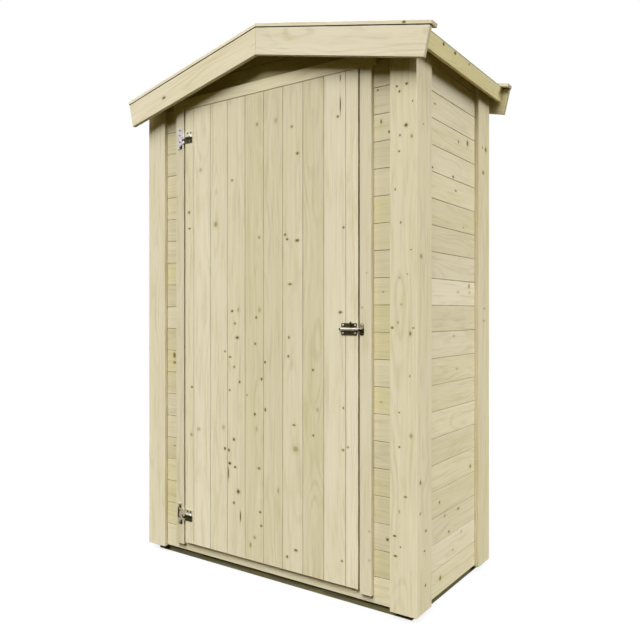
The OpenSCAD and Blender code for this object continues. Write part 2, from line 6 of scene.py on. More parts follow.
import bmesh
import bpy
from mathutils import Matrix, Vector


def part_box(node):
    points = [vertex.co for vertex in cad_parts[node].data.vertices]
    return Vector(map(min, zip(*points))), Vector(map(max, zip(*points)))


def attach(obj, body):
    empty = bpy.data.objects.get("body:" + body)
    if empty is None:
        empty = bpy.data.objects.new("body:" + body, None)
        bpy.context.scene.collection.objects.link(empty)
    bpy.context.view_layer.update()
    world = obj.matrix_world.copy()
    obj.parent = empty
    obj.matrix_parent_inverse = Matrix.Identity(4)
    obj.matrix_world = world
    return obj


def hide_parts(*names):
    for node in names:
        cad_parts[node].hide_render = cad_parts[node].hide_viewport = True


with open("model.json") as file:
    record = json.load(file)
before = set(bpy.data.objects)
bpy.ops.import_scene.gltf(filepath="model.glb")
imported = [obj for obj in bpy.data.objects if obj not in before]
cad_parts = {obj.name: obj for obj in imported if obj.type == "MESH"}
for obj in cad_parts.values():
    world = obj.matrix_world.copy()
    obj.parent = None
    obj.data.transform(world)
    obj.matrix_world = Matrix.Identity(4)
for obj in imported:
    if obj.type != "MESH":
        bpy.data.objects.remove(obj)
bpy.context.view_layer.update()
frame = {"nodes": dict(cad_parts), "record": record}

X, Y, Z = Vector((1, 0, 0)), Vector((0, 1, 0)), Vector((0, 0, 1))
PITCH = math.radians(13)
NODES = frame["nodes"]
BODY_OF = {n: body for body, names in frame["record"]["behaviour"]["bodies"].items() for n in names}
SLOT_OF = {part["node"]: part["material_slot"] for part in frame["record"]["subparts"]}


def srgb(red, green, blue, alpha=1.0):
    """A colour given in display values from 0 to 255, as Blender's linear one."""
    def linear(c):
        c /= 255
        return c / 12.92 if c <= 0.04045 else ((c + 0.055) / 1.055) ** 2.4
    return (linear(red), linear(green), linear(blue), alpha)


# Camera, where the photograph was taken from

CAMERA_PLACE = (1.5744, -2.2221, 0.9930)
CAMERA_YAW = 0.6063
CAMERA_PITCH = 0.0015
SENSOR = 36.0
FOCAL_PIXELS = 666.63
PHOTO_SIZE = 640
HORIZON_ROW = 314.18
CLIP = (0.05, 60)

camera = bpy.data.objects.new("camera", bpy.data.cameras.new("camera"))
bpy.context.scene.collection.objects.link(camera)
camera.location = CAMERA_PLACE
camera.rotation_euler = (math.pi / 2 - CAMERA_PITCH, 0, CAMERA_YAW)
camera.data.sensor_width = SENSOR
camera.data.lens = SENSOR * FOCAL_PIXELS / PHOTO_SIZE
camera.data.shift_y = (HORIZON_ROW - PHOTO_SIZE / 2) / PHOTO_SIZE
camera.data.clip_start, camera.data.clip_end = CLIP
bpy.context.scene.camera = camera
bpy.context.scene.view_settings.view_transform = "Standard"


# Node trees

class Tree:
    """A material's node tree, with short ways to add nodes. Any value may be a socket instead."""

    def __init__(self, name):
        self.material = bpy.data.materials.new(name)
        self.material.use_nodes = True
        self.tree = self.material.node_tree
        self.tree.nodes.clear()

    def put(self, socket, value):
        if isinstance(value, bpy.types.NodeSocket):
            self.tree.links.new(value, socket)
        elif value is not None:
            socket.default_value = value

    def node(self, kind, values=None, **settings):
        made = self.tree.nodes.new(kind)
        for name, value in settings.items():
            setattr(made, name, value)
        for name, value in (values or {}).items():
            self.put(made.inputs[name], value)
        return made

    def math(self, operation, *values, clamp=False):
        made = self.node("ShaderNodeMath", operation=operation, use_clamp=clamp)
        for socket, value in zip(made.inputs, values):
            self.put(socket, value)
        return made.outputs[0]

    def vector(self, operation, *values):
        made = self.node("ShaderNodeVectorMath", operation=operation)
        for socket, value in zip(made.inputs, values):
            self.put(socket, value)
        return made.outputs[0]

    def attribute(self, name, output="Vector"):
        return self.node("ShaderNodeAttribute", attribute_name=name).outputs[output]

    def split(self, vector):
        return self.node("ShaderNodeSeparateXYZ", {0: vector}).outputs[:3]

    def join(self, x, y, z):
        return self.node("ShaderNodeCombineXYZ", {0: x, 1: y, 2: z}).outputs[0]

    def noise(self, vector, scale=1.0, detail=2.0, roughness=0.5, seed=None, output="Fac"):
        made = self.node("ShaderNodeTexNoise", noise_dimensions="3D" if seed is None else "4D")
        for name, value in (("Vector", vector), ("Scale", scale), ("Detail", detail),
                            ("Roughness", roughness)):
            self.put(made.inputs[name], value)
        if seed is not None:
            self.put(made.inputs["W"], seed)
        return made.outputs[output]

    def remap(self, value, low, high, to_low=0.0, to_high=1.0):
        made = self.node("ShaderNodeMapRange", interpolation_type="SMOOTHSTEP")
        for socket, given in zip(made.inputs, (value, low, high, to_low, to_high)):
            self.put(socket, given)
        return made.outputs[0]

    def mix(self, share, a, b):
        made = self.node("ShaderNodeMix", data_type="RGBA")
        for index, value in ((0, share), (6, a), (7, b)):
            self.put(made.inputs[index], value)
        return made.outputs[2]

    def bump(self, height, strength, distance):
        return self.node("ShaderNodeBump", {
            "Height": height, "Strength": strength, "Distance": distance}).outputs[0]

    def surface(self, colour, roughness, normal=None, metallic=0.0, specular=0.5):
        shader = self.node("ShaderNodeBsdfPrincipled", {
            "Base Color": colour, "Roughness": roughness, "Normal": normal,
            "Metallic": metallic, "Specular IOR Level": specular})
        self.node("ShaderNodeOutputMaterial", {"Surface": shader.outputs[0]})
        return self.material


# How often each pattern in the wood changes per metre: along a board, across it and into it
WANDER, FRET, PATCHES = (1.9, 5.0, 5.0), (9.0, 160.0, 160.0), (3.0, 26.0, 26.0)
STREAKS, BLOTCHES, DRIFT = (4.2, 95.0, 50.0), (6.5, 30.0, 30.0), (2.4, 14.0, 14.0)
FIBRES = (16.0, 1100.0, 1100.0)
RING_WIDTH, RING_FRET, PITH_WANDER, TINT_DRIFT = 0.0058, 2.4, 0.055, 1.3

# How far apart the seeds of boards lie in the patterns, and in the two directions of the knots
SEED_STEP, KNOT_SEED_STEPS = 41.0, (91.0, 53.0)

# Scattered knots: cells per metre along and across a board, and the share of cells without a knot.
# Then their least radius and its spread, how much longer than wide they are, and how ragged.
KNOT_CELLS, EMPTY_CELLS = (3.4, 8.5), 0.4
KNOT_LEAST, KNOT_SPREAD, KNOT_LENGTHEN, KNOT_RAGGED = 0.002, 0.005, 1.3, 0.0012

# Colours that the wood turns to, and how far at most
LATEWOOD, YELLOWED = srgb(150, 122, 70), srgb(222, 212, 158)
RESINOUS, RESINOUS_MOST = srgb(188, 172, 118), 0.46
BLEACHED, BLEACHED_MOST = srgb(238, 230, 203), 0.5
BLOTCHED, BLOTCHED_MOST = srgb(198, 186, 128), 0.5
KNOT_STAIN, STAIN_SPREAD, STAIN_MOST = srgb(168, 155, 86), 1.7, 0.75
KNOT_CORE = (srgb(68, 54, 20), srgb(120, 104, 54))
# The colour of sawn ends, which also paints shade on some long edges
END_GRAIN_AND_EDGE_SHADE, END_LEAST, END_RINGS = srgb(132, 112, 62), 0.12, 0.2
# Upward faces turn to this grey, as weathering and as painted shade against the strong light from above
WEATHER_AND_TOP_SHADE, WEATHER_AND_TOP_SHADE_MOST = srgb(176, 168, 138), 0.85
# Deep joints turn to this, as dirt and as painted shade down in them
JOINT_DIRT_AND_SHADE, SEAM_LEAST, SEAM_MOST = srgb(72, 60, 22), 0.2, 0.8

# Brightness of plain wood, what a board's own light adds, what the fibres add, and how glossy wood is
LEVEL, LIGHT_STEP, FIBRE_STEP, WOOD_GLOSS = 0.96, 0.045, 0.08, 0.012


def pine(name, rosy, green, latewood=0.16):
    """Sawn pine as a solid texture. It reads each board's own grain place, tint, light and seed."""
    t = Tree(name)
    grain = t.attribute("grain")
    tint, light, seed = t.split(t.attribute("board"))
    along, across, depth = t.split(grain)
    far_seed = t.math("MULTIPLY", seed, SEED_STEP)

    def pattern(stretch, detail=2.0, roughness=0.5, own=far_seed, output="Fac"):
        return t.noise(t.vector("MULTIPLY", grain, stretch), 1.0, detail, roughness, own, output)

    # Growth rings round a pith that wanders under the face
    wander = t.node("ShaderNodeSeparateColor", {0: pattern(WANDER, output="Color")})
    shifted = [t.math("MULTIPLY_ADD", t.math("SUBTRACT", wander.outputs[i], 0.5), PITH_WANDER, value)
               for i, value in ((0, across), (1, depth))]
    squares = [t.math("MULTIPLY", value, value) for value in shifted]
    radius = t.math("SQRT", t.math("ADD", *squares))
    fret = pattern(FRET, 2.0, 0.6)
    turns = t.math("MULTIPLY", radius, 2 * math.pi / RING_WIDTH)
    phase = t.math("MULTIPLY_ADD", fret, RING_FRET, turns)
    ring = t.remap(t.math("SINE", phase), 0.05, 1.0)
    patchy = t.remap(pattern(PATCHES), 0.38, 0.7, 0.15, 1.0)

    # Streaks, blotches, fine fibres and the drift of the tint along a board
    streak = pattern(STREAKS, 3.0, 0.6)
    blotch = pattern(BLOTCHES, 3.0, 0.6)
    fibre = pattern(FIBRES, 2.0, 0.6, None)
    drift = pattern(DRIFT)
    share = t.math("MULTIPLY_ADD", t.math("SUBTRACT", drift, 0.5), TINT_DRIFT, tint, clamp=True)
    colour = t.mix(share, rosy, green)
    colour = t.mix(t.math("SUBTRACT", tint, 1.0, clamp=True), colour, YELLOWED)
    late = t.math("MULTIPLY", t.math("MULTIPLY", ring, patchy), latewood)
    colour = t.mix(late, colour, LATEWOOD)
    colour = t.mix(t.remap(streak, 0.5, 0.8, 0.0, RESINOUS_MOST), colour, RESINOUS)
    colour = t.mix(t.remap(streak, 0.2, 0.48, BLEACHED_MOST, 0.0), colour, BLEACHED)
    colour = t.mix(t.remap(blotch, 0.52, 0.82, 0.0, BLOTCHED_MOST), colour, BLOTCHED)
    level = t.math("MULTIPLY_ADD", light, LIGHT_STEP, t.math("MULTIPLY_ADD", fibre, FIBRE_STEP, LEVEL))
    colour = t.vector("SCALE", colour)
    t.put(colour.node.inputs["Scale"], level)

    # Scattered small knots, each with a pale stain round it
    spot = t.join(*(t.math("MULTIPLY_ADD", seed, step, t.math("MULTIPLY", value, cells))
                    for value, step, cells in zip((along, across), KNOT_SEED_STEPS, KNOT_CELLS)), 0.0)
    cell = t.node("ShaderNodeTexVoronoi", {"Vector": spot, "Scale": 1.0}, voronoi_dimensions="2D")
    away = t.split(t.vector("SUBTRACT", cell.outputs["Position"], spot))
    away = t.join(t.math("DIVIDE", away[0], KNOT_CELLS[0] * KNOT_LENGTHEN),
                  t.math("DIVIDE", away[1], KNOT_CELLS[1]), 0.0)
    distance = t.vector("LENGTH", away).node.outputs["Value"]
    dice = t.split(cell.outputs["Color"])
    knot_size = t.math("MULTIPLY_ADD", t.math("MULTIPLY", dice[0], dice[0]), KNOT_SPREAD, KNOT_LEAST)
    filled = t.math("GREATER_THAN", dice[1], EMPTY_CELLS)
    seen = t.math("MULTIPLY", filled, t.attribute("knotty", "Fac"))
    near = t.math("DIVIDE", t.math("MULTIPLY_ADD", fret, KNOT_RAGGED, distance), knot_size)
    core = t.math("MULTIPLY", t.remap(near, 1.3, 0.7), seen)
    stain = t.math("MULTIPLY", t.remap(near, 3.4, 1.0, 0.0, 0.35), seen)

    # The knots that are modelled one by one
    knot = t.attribute("knot", "Fac")
    ragged = t.math("MULTIPLY_ADD", t.math("SUBTRACT", fret, 0.5), 0.5, knot)
    core = t.math("MAXIMUM", core, t.math("MULTIPLY", knot, t.remap(ragged, 0.1, 0.6)))
    spread = t.math("MINIMUM", t.math("MULTIPLY", knot, STAIN_SPREAD), STAIN_MOST)
    colour = t.mix(t.math("MAXIMUM", stain, spread), colour, KNOT_STAIN)
    colour = t.mix(core, colour, t.mix(fret, *KNOT_CORE))

    # Sawn ends drink more and are darker, with the rings clear on them. The same darkening is painted on
    # some long edges as shade where they step out of the wall
    soaked_and_shaded = t.math("MULTIPLY_ADD", ring, END_RINGS, END_LEAST)
    colour = t.mix(t.math("MULTIPLY", t.attribute("cut", "Fac"), soaked_and_shaded), colour, END_GRAIN_AND_EDGE_SHADE)

    # Faces that lie open to the sky are duller: partly weathering, partly painted shade that tones down
    # the strong light from above
    up = t.split(t.node("ShaderNodeNewGeometry").outputs["Normal"])[2]
    colour = t.mix(t.remap(up, 0.85, 0.98, 0.0, WEATHER_AND_TOP_SHADE_MOST), colour, WEATHER_AND_TOP_SHADE)

    # Dirt and shade down in the joints between boards
    dirt_and_shade = t.remap(blotch, 0.25, 0.7, SEAM_LEAST, SEAM_MOST)
    colour = t.mix(t.math("MULTIPLY", t.attribute("seam", "Fac"), dirt_and_shade), colour, JOINT_DIRT_AND_SHADE)

    height = t.math("MULTIPLY_ADD", ring, 0.5, t.math("MULTIPLY_ADD", core, -0.6, fibre))
    rough = t.math("MULTIPLY_ADD", fibre, 0.22, 0.52)
    return t.surface(colour, rough, t.bump(height, 0.28, 0.0005), 0.0, WOOD_GLOSS)


# How often the patterns in the zinc and the felt change per metre
MOTTLE, SCRATCHES, SPANGLES = 160.0, (60.0, 900.0, 900.0), 420.0
GRANULES, WEAR = 620.0, 7.0

# Colours of the felt: its granules, where they are worn, its bare edge and the edge along the eaves
SLATE, WORN = (srgb(38, 40, 38), srgb(92, 95, 90)), srgb(66, 70, 58)
BITUMEN, PALE_EAVE_EDGE = srgb(20, 11, 1), srgb(172, 172, 150)


def zinc(name, dark, pale, roughness, metallic, painted_shade=None):
    """Galvanised steel: a mottled coat with fine scratches. The last argument holds the two colours of
    the parts that are painted dark, as painted shade and dark reflection. The attribute rise marks them:
    it runs from -1 to 1, and above 0 the coat is bright."""
    t = Tree(name)
    place = t.attribute("grain")
    mottle = t.noise(place, MOTTLE, 4.0, 0.62)
    scratch = t.noise(t.vector("MULTIPLY", place, SCRATCHES), 1.0, 2.0)
    spots = t.node("ShaderNodeTexVoronoi", {"Vector": place, "Scale": SPANGLES}).outputs["Color"]
    spangle = t.split(spots)[0]
    share = t.math("MULTIPLY_ADD", spangle, 0.3, t.remap(mottle, 0.3, 0.7, 0.0, 0.7))
    colour = t.mix(share, dark, pale)
    if painted_shade:
        bright = t.remap(t.math("MULTIPLY_ADD", mottle, 0.08, t.attribute("rise", "Fac")), -0.12, 0.12)
        colour = t.mix(bright, t.mix(share, *painted_shade), colour)
    rough = t.math("MULTIPLY_ADD", mottle, 0.18, roughness)
    return t.surface(colour, rough, t.bump(t.math("ADD", mottle, scratch), 0.18, 0.0002), metallic)


def mineral_felt(name):
    """Bitumen felt under a coat of slate granules."""
    t = Tree(name)
    place = t.attribute("grain")
    cell = t.node("ShaderNodeTexVoronoi", {"Vector": place, "Scale": GRANULES})
    shade = t.split(cell.outputs["Color"])[0]
    worn = t.noise(place, WEAR, 4.0, 0.6)
    colour = t.mix(shade, *SLATE)
    colour = t.mix(t.remap(worn, 0.45, 0.75, 0.0, 0.35), colour, WORN)
    # The sheet's edges are bare bitumen under the caps, and pale along the eaves
    normal = t.split(t.node("ShaderNodeNewGeometry").outputs["Normal"])
    along_eaves = t.math("GREATER_THAN", t.math("ABSOLUTE", normal[0]), 0.6)
    edge = t.mix(along_eaves, BITUMEN, PALE_EAVE_EDGE)
    colour = t.mix(t.remap(normal[2], 0.8, 0.4), colour, edge)
    height = t.math("MULTIPLY_ADD", worn, 1.6, t.math("SUBTRACT", 1.0, cell.outputs["Distance"]))
    return t.surface(colour, 0.9, t.bump(height, 0.5, 0.0008), 0.0, 0.06)


materials = {
    "pine_boards": pine("pine_boards", srgb(229, 220, 196), srgb(220, 211, 177)),
    "pine_trim": pine("pine_trim", srgb(229, 220, 197), srgb(221, 212, 180), 0.17),
    "pine_frame": pine("pine_frame", srgb(221, 206, 170), srgb(208, 196, 148)),
    "base_timber": pine("base_timber", srgb(112, 108, 82), srgb(92, 94, 66), 0.2),
    "roofing_felt": mineral_felt("roofing_felt"),
    "nail_steel": zinc("nail_steel", srgb(74, 66, 44), srgb(122, 116, 98), 0.42, 0.7),
    # A zinc's last two colours are those of its parts painted dark, as painted shade and dark reflection
    "zinc_hinge": zinc("zinc_hinge", srgb(170, 162, 168), srgb(226, 220, 224), 0.34, 0.8,
                       (srgb(26, 20, 4), srgb(58, 50, 22))),
    "zinc_leaf": zinc("zinc_leaf", srgb(206, 198, 172), srgb(228, 221, 198), 0.36, 0.6,
                      (srgb(36, 29, 8), srgb(104, 96, 58))),
    # A dimmer copy of the zinc, painted shade for screws
    "zinc_half_shade": zinc("zinc_half_shade", srgb(88, 80, 56), srgb(136, 128, 100), 0.36, 0.8),
    "zinc_keeper": zinc("zinc_keeper", srgb(120, 112, 84), srgb(168, 160, 134), 0.36, 0.7,
                        (srgb(30, 24, 6), srgb(60, 52, 26))),
    "zinc_bolt": zinc("zinc_bolt", srgb(200, 196, 182), srgb(236, 233, 222), 0.26, 0.9,
                      (srgb(44, 37, 14), srgb(84, 76, 48))),
    # Shaded and lit copies of the zinc: the dark one is painted shade and dark reflection, the bright
    # one painted highlight
    "zinc_painted_shade": zinc("zinc_painted_shade", srgb(40, 33, 12), srgb(74, 66, 38), 0.40, 0.6),
    "zinc_painted_lit": zinc("zinc_painted_lit", srgb(190, 186, 174), srgb(232, 229, 218), 0.24, 0.95),
}


# Boards

# How much wider a brace's box is than its run from end to end
BRACE_RUN = 0.086


def down_slope(side):
    return Vector((side * math.cos(PITCH), 0, -math.sin(PITCH)))


def out_of_slope(side):
    return Vector((side * math.sin(PITCH), 0, math.cos(PITCH)))


def directions(kind, low, high):
    """Unit directions of a board: along its grain, across its face and out of its face."""
    middle, size = (low + high) / 2, high - low
    side, end = math.copysign(1, middle.x), math.copysign(1, middle.y)
    if kind == "level":
        return X, Z, Y * end
    if kind == "level_side":
        return Y, Z, X * side
    if kind == "upright":
        return Z, X, Y * end
    if kind == "upright_side":
        return Z, Y, X * side
    if kind == "rail":
        return X, Y, Z
    if kind == "joist":
        return Y, X, Z
    if kind == "roof":
        return Y, down_slope(side), out_of_slope(side)
    if kind == "barge":
        return down_slope(side), out_of_slope(side), Y * end
    if kind == "eave":
        return Y, out_of_slope(side), down_slope(side)
    if kind == "brace":
        along = Vector((size.x - BRACE_RUN, 0, size.z)).normalized()
        return along, along.cross(Y), Y
    raise ValueError(kind)


def box_of(verts):
    points = [v.co for v in verts]
    low = Vector([min(p[i] for p in points) for i in range(3)])
    high = Vector([max(p[i] for p in points) for i in range(3)])
    return low, high


def islands(bm):
    """The separate solids of a mesh, in a fixed order."""
    left, found = set(bm.verts), []
    for start in bm.verts:
        if start not in left:
            continue
        left.discard(start)
        group, stack = [start], [start]
        while stack:
            for edge in stack.pop().link_edges:
                for v in edge.verts:
                    if v in left:
                        left.discard(v)
                        group.append(v)
                        stack.append(v)
        found.append(group)
    return sorted(found, key=lambda g: tuple(round(c, 4) for c in box_of(g)[0]))


# Points that lie nearer than WELD are one, and so are faces that turn by less than FLAT_TURN degrees
WELD, FLAT_TURN = 2e-6, 0.4


def solid_copy(node):
    """A new mesh with a CAD node's solids, welded and with flat faces whole."""
    bm = bmesh.new()
    bm.from_mesh(NODES[node].data)
    bmesh.ops.remove_doubles(bm, verts=bm.verts, dist=WELD)
    bmesh.ops.dissolve_limit(bm, angle_limit=math.radians(FLAT_TURN), verts=bm.verts, edges=bm.edges)
    return bm


def ease(bm, width, segments, least_turn=25, most_turn=180, least_length=0.0):
    """Rounds the edges between faces that turn by an angle in the range given in degrees."""
    chosen = [e for e in bm.edges if len(e.link_faces) == 2 and e.calc_length() >= least_length
              and least_turn < math.degrees(e.calc_face_angle(0)) < most_turn]
    bmesh.ops.bevel(bm, geom=chosen, offset=width, offset_type="OFFSET", segments=segments,
                    profile=0.5, affect="EDGES", clamp_overlap=True)


def show(name, bm, material, node, bodies=None, smooth_turn=40):
    """Makes the object of a piece, which replaces a node and rides on its body."""
    mesh = bpy.data.meshes.new(name)
    bm.to_mesh(mesh)
    bm.free()
    mesh.shade_smooth()
    mesh.set_sharp_from_angle(angle=math.radians(smooth_turn))
    piece = bpy.data.objects.new(name, mesh)
    bpy.context.scene.collection.objects.link(piece)
    for m in material if isinstance(material, list) else [material]:
        mesh.materials.append(m)
    normals = piece.modifiers.new("normals", "WEIGHTED_NORMAL")
    normals.keep_sharp = True
    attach(piece, bodies or BODY_OF[node])
    return piece


# Knots and resin cracks as the photo shows them. Each is given in millimetres: its place along X, or
# along Y on a side, its height, half its width, half its height, and how dark it is. Most of these
# numbers were measured in the photo by another script. The others were read off one by one.
KNOTS = {
    "corner_board_front_right": (
        (590, 1725, 3.1, 2.7, 1), (555, 1723, 2.6, 2.2, 0.9), (564, 1705, 2.2, 2.6, 1),
        (611, 1666, 1.6, 1.7, 1), (588, 1593, 3.7, 3.7, 1), (566, 1564, 2.5, 2.2, 0.7),
        (608, 1555, 3.8, 4.7, 0.4), (563, 1513, 2.2, 1.9, 1), (549, 1392, 2.1, 2.8, 0.6),
        (569, 1284, 2, 2.8, 0.7), (605, 1195, 1.8, 1.5, 0.8), (593, 1118, 1.7, 1.7, 0.5),
        (564, 1107, 3.2, 2.9, 0.3), (571, 1021, 3.2, 2.9, 0.3), (559, 963, 2.5, 3.4, 0.4),
        (536, 946, 3.4, 3, 0.7), (614, 946, 3.3, 2, 0.5), (603, 928, 2.9, 5.3, 0.6),
        (601, 793, 1.9, 2.9, 0.5), (563, 674, 1.9, 1.5, 1), (606, 603, 3.9, 5.6, 0.4),
        (564, 563, 2.2, 2, 1), (586, 406, 3.8, 2.2, 0.7), (564, 355, 2.1, 4.8, 0.4),
        (547, 274, 3.5, 2.1, 1), (568, 242, 1.7, 1.7, 0.9), (550, 210, 3.9, 2.2, 1)),
    "front_boards_right": (
        (475, 1730, 2.3, 2, 1), (488, 1624, 2.6, 5.3, 0.7), (518, 1586, 2.3, 3.2, 1),
        (496, 1063, 2.6, 2.3, 0.4), (488, 700, 3.4, 3, 0.3), (512, 251, 3.4, 3.1, 1)),
    "front_boards_left": (
        (-488, 820, 5.8, 8.2, 0.7), (-487, 790, 5.5, 3.8, 0.7), (-487, 446, 4.7, 1.9, 0.6)),
    "door_casing_right": (
        (442, 1127, 1.8, 1.7, 0.5), (420, 1012, 3.5, 3, 0.3),
        (456, 271, 3.4, 3, 0.3), (456, 175, 3.4, 3, 0.3)),
    "side_board_front_right": (
        (-268, 1602, 3.4, 1.7, 0.5), (-285, 1175, 7, 6, 0.4),
        (-292, 451, 4.6, 5.5, 0.6), (-294, 352, 4.6, 3.6, 0.4),
        (-250, 287, 4.8, 3, 0.6), (-260, 224, 3.5, 1.7, 1), (-253, 111, 3.4, 2.6, 0.9)),
    "right_wall_boards": (
        (-167, 1483, 3.7, 2.5, 0.9),
        (-148, 1701, 5.6, 2.3, 0.6), (136, 1626, 7, 8.2, 0.6), (52, 1615, 4.1, 4.9, 0.5),
        (4, 1477, 5.5, 3.5, 0.7), (27, 1433, 6.1, 2.6, 0.6), (95, 1308, 4.7, 1.8, 0.5),
        (151, 1094, 6, 6, 0.5), (47, 1070, 8.2, 3.3, 0.3), (156, 1070, 7, 3.4, 0.3),
        (10, 911, 8, 3.2, 0.3), (37, 792, 8.1, 3.2, 0.3), (163, 417, 6, 4.5, 0.6),
        (-111, 344, 3.7, 3.6, 0.7), (-67, 287, 5.3, 4.1, 0.4), (50, 284, 7, 3.2, 0.6),
        (-33, 223, 5.5, 3.4, 0.6), (77, 194, 5.8, 3.6, 0.3), (1, 148, 5.2, 2.2, 0.4),
        (-105, 82, 5, 5.5, 0.7)),
    "side_board_rear_right": (
        (246, 1631, 4.9, 3, 0.4), (280, 1629, 6.6, 6.2, 0.7),
        (253, 1535, 6.3, 4.8, 0.7), (265, 1011, 6.1, 3.3, 0.4),
        (260, 963, 9.5, 3.5, 0.3)),
    "door_boards": (
        (338, 1794, 1.5, 8, 0.8), (338, 1702, 1.6, 19, 1), (58, 1695, 5.5, 7.5, 0.3),
        (-31, 1695, 4.5, 5.8, 0.4), (328, 1664, 3.8, 3.2, 0.6), (131, 1661, 4, 3.5, 0.5),
        (156, 1562, 4.5, 3.5, 0.7), (-322, 1561, 6.5, 6.6, 0.3), (-155, 1501, 4.5, 3.7, 0.5),
        (-387, 1398, 4, 4.1, 0.7), (-241, 1339, 6.8, 8.2, 0.4), (-384, 1333, 4.4, 1.9, 1),
        (101, 1276, 3, 3.3, 0.8), (-21, 1274, 3.3, 3.9, 0.5), (110, 1259, 3.3, 2.4, 1),
        (155, 1252, 6, 3.6, 0.8), (123, 1097, 5.9, 3.3, 0.6), (-123, 1006, 4.4, 6.9, 0.3),
        (-19, 1005, 5.2, 7.5, 0.3), (-155, 1001, 3.6, 2.7, 1), (338, 996, 4.9, 3.1, 0.8),
        (-35, 977, 3.3, 4, 0.7), (-141, 954, 4.4, 3.7, 0.5), (118, 906, 3.2, 3.7, 0.6),
        (-129, 900, 6.1, 3.8, 0.8), (-40, 879, 3.2, 3.5, 0.7), (115, 838, 2.9, 3.4, 0.8),
        (-168, 825, 5.4, 2.7, 0.6), (6, 812, 2.7, 3.2, 1), (-6, 749, 3.1, 3.5, 0.9),
        (-370, 697, 3.9, 2.8, 0.8), (243, 656, 4, 5.5, 0.3), (3, 637, 3.1, 4.9, 0.8),
        (-42, 616, 3.2, 3.5, 1), (141, 593, 5.4, 2.2, 0.7), (225, 565, 2.8, 3.2, 0.7),
        (-33, 563, 3.7, 8.4, 0.3), (-200, 552, 6, 6.6, 0.3), (-333, 532, 7, 5.5, 0.3),
        (-146, 511, 3.6, 3.9, 0.9), (148, 508, 9, 8, 0.35), (-370, 506, 5, 5.5, 0.4),
        (-192, 471, 3.6, 4.1, 0.9), (-174, 467, 3, 4.2, 0.9), (-168, 417, 4.8, 3.6, 1),
        (-22, 417, 5.2, 3.4, 0.6), (-140, 406, 3.6, 2.7, 1), (-174, 378, 2, 16, 0.9),
        (69, 348, 3, 7.5, 0.4), (-124, 315, 5.2, 5.4, 0.9), (-146, 269, 3.5, 3.4, 0.8),
        (-16, 255, 3.4, 2.6, 1), (-113, 223, 2, 13, 1), (-11, 205, 3.3, 2.6, 1),
        (-43, 156, 5, 4.9, 0.4), (345, 150, 2.8, 2.4, 0.8), (149, 147, 5.2, 3, 0.8),
        (-63, 124, 4.5, 7.5, 0.4), (110, 116, 3, 3.4, 0.9),
        (353, 1284, 3, 2.6, 0.8), (-192, 846, 3, 3, 0.6), (224, 794, 3, 3, 0.8),
        (-145, 788, 3.2, 2.8, 0.7), (-117, 732, 3.2, 3.6, 0.8), (-168, 698, 3.2, 2.8, 0.7),
        (-80, 685, 3, 3.2, 0.4), (350, 671, 2.6, 3, 0.6), (369, 540, 2.8, 3, 0.5),
        (353, 528, 4, 3.4, 0.5)),
    "barge_board_front_left": ((-482, 1864, 5, 4.5, 1),),
    "cap_battens_front": ((606, 1906, 4.6, 1.4, 1),),
    "eave_board_right": (
        (-207, 1872, 4.6, 2.2, 1), (-114, 1872, 4.6, 2.2, 1), (8, 1872, 4, 2, 0.5)),
}

# Nodes that the photo shows without knots
CLEAR = {"barge_board_front_right", "door_casing_left", "door_casing_top", "corner_board_front_left",
         "front_gable_boards", "front_sill_board", "barge_board_rear_right"}

# A knot's rings: size as a share of the knot's own, and how far it darkens there. The last one, where
# the pale stain ends, is drawn in as far as the board's edge where that is nearer.
KNOT_RINGS = ((0.0, 1.0), (0.5, 1.0), (0.8, 0.85), (1.0, 0.52), (1.3, 0.27), (1.65, 0.15), (2.6, 0.0))
KNOT_SIDES = 14

# The room that a knot needs on its board as a share of its size, the most that it moves to have it, in
# metres, and its size against the listed one
KNOT_REACH, KNOT_SHIFT, KNOT_SCALE = 1.8, 0.006, 1.25

# A face with knots sinks a little, and its knots stand over it by less than that. Points within FLAT
# of a face's plane belong to the face.
SINK, LIFT, FLAT = 0.00012, 0.00006, 0.00001

# How deep the dirt and painted shade in a joint lie, and how far a face turns to count as an end or an
# edge
SEAM_DEPTH = (0.0006, 0.0130)
END_TURN = 0.8

# Where the photo shows all boards of a node greener or lighter than others: tint and light
SHIFTS = {
    "front_boards_left": (0.4, -1.0), "front_boards_right": (0.5, -1.9),
    "corner_board_front_left": (-0.4, 1.4), "side_board_rear_right": (0.0, -1.3),
    "door_casing_left": (0.0, -1.7), "door_casing_right": (0.1, -0.9),
    # The gable boards are set darker and yellower as painted shade under the roof
    "door_casing_top": (0.1, 1.4), "front_gable_boards": (1.4, -5.5),
    "barge_board_front_left": (-0.2, 1.4), "barge_board_front_right": (-0.3, 1.2),
    "barge_board_rear_left": (1.0, -3.6), "barge_board_rear_right": (1.0, -3.6),
    "eave_board_left": (0.9, 5.0), "eave_board_right": (0.9, 5.0), "cap_battens_front": (-0.6, 2.0),
}

# Boards whose long edges the photo shows dark, where they are painted darker as shade at the step out of
# the wall: how dark, as a share of a sawn end
SHADED_EDGES = {"side_board_rear_right": 0.7}

# How the edges of boards are eased: width, segments, least and most turn in degrees, and least length
EDGES = {"tongued": (0.00035, 2, 40, 50, 0.02), "trim": (0.0014, 3), "frame": (0.0009, 2)}


